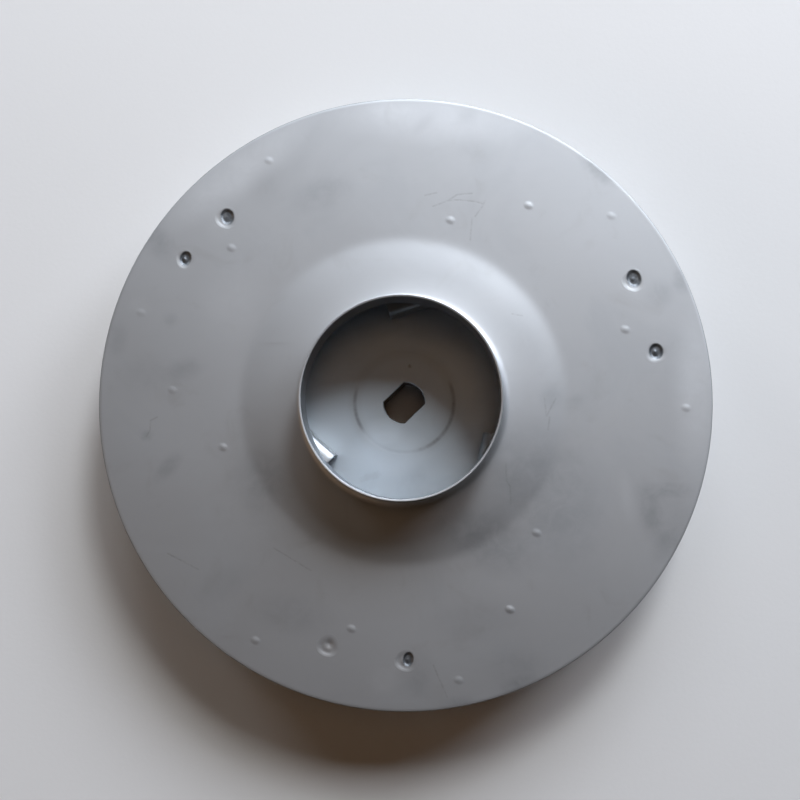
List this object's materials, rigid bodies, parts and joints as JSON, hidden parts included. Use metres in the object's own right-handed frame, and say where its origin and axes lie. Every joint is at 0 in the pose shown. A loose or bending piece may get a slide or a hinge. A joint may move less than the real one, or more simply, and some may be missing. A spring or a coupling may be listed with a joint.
{
  "type": "centrifugal pump impeller",
  "caption": "Closed pump impeller pressed and welded from stainless sheet: flat shrouds, low dome, suction neck, backward-curved vanes and a rear hub with a flatted bore.",
  "frame": {"origin": "centre of the hub's rear face, on the turning axis", "axes": "+Z along the turning axis out of the suction neck, +X to the right and +Y up as the picture shows the neck side"},
  "size_m": [0.158, 0.158, 0.0352],
  "materials": {
    "front_shroud": "satin blue-grey stainless sheet with weld pips, small punched dents, faint stains and scratches",
    "back_shroud": "smooth mill-finish stainless sheet",
    "vanes": "pressed stainless sheet, slightly polished at the bends",
    "hub": "turned stainless bar with fine tool rings"
  },
  "bodies": {
    "root": {"front_shroud": "front_shroud", "back_shroud": "back_shroud", "vane_pair_1": "vanes", "vane_pair_2": "vanes", "vane_pair_3": "vanes", "hub": "hub"}
  },
  "joints": []
}
